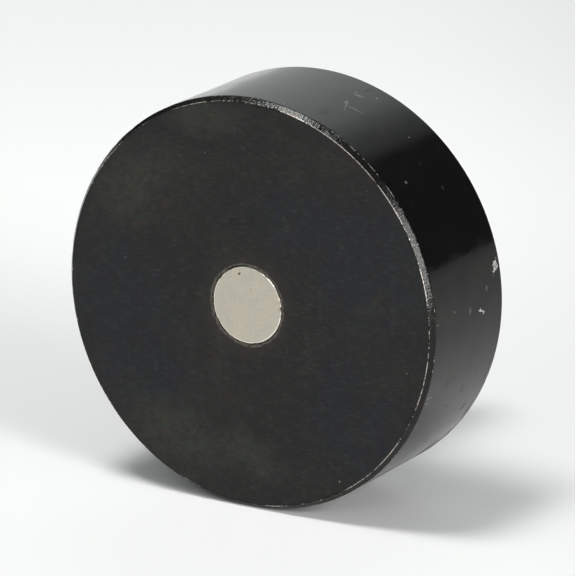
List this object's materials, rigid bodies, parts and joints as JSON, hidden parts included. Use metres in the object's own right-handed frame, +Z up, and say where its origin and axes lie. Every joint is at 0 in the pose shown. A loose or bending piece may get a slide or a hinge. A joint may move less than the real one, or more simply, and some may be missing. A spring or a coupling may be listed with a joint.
{
  "type": "magnet fishing magnet",
  "caption": "Black single-sided pot magnet for magnet fishing, with a plated centre hub and a screw-in eyebolt at the back.",
  "frame": {"origin": "centre of the magnetic face", "axes": "-Y out of the magnetic face, +Y along the axis to the eyebolt, +Z up with the magnet standing on its rim, +X through the eye"},
  "size_m": [0.075, 0.063, 0.075],
  "materials": {
    "black_oxide_steel": "gloss",
    "blackened_plate": "satin",
    "magnet_nickel": "satin",
    "resin": "satin",
    "sleeve_brass": "satin",
    "nickel_plate": "satin",
    "spring_steel": "satin",
    "zinc_plate": "satin"
  },
  "bodies": {
    "magnet_body": {"steel_pot": "black_oxide_steel", "front_cover": "blackened_plate", "magnet_front": "magnet_nickel", "magnet_rear": "magnet_nickel", "resin_potting": "resin", "spacer_sleeve": "sleeve_brass", "centre_hub": "nickel_plate"},
    "washer": {"spring_washer": "spring_steel"},
    "eyebolt": {"eyebolt": "zinc_plate"}
  },
  "joints": [
    {"name": "eyebolt_travel", "type": "slide", "parent": "magnet_body", "child": "washer", "axis": [0, 1, 0], "range_m": [0, 0.0114]},
    {"name": "eyebolt_turn", "type": "hinge", "parent": "washer", "child": "eyebolt", "pos_m": [0, 0.027, 0], "axis": [0, 1, 0], "range_deg": [0, 3240]}
  ],
  "couplings": [
    {"joint": "eyebolt_travel", "follows": "eyebolt_turn", "m_per_rad": 0.00019894}
  ]
}
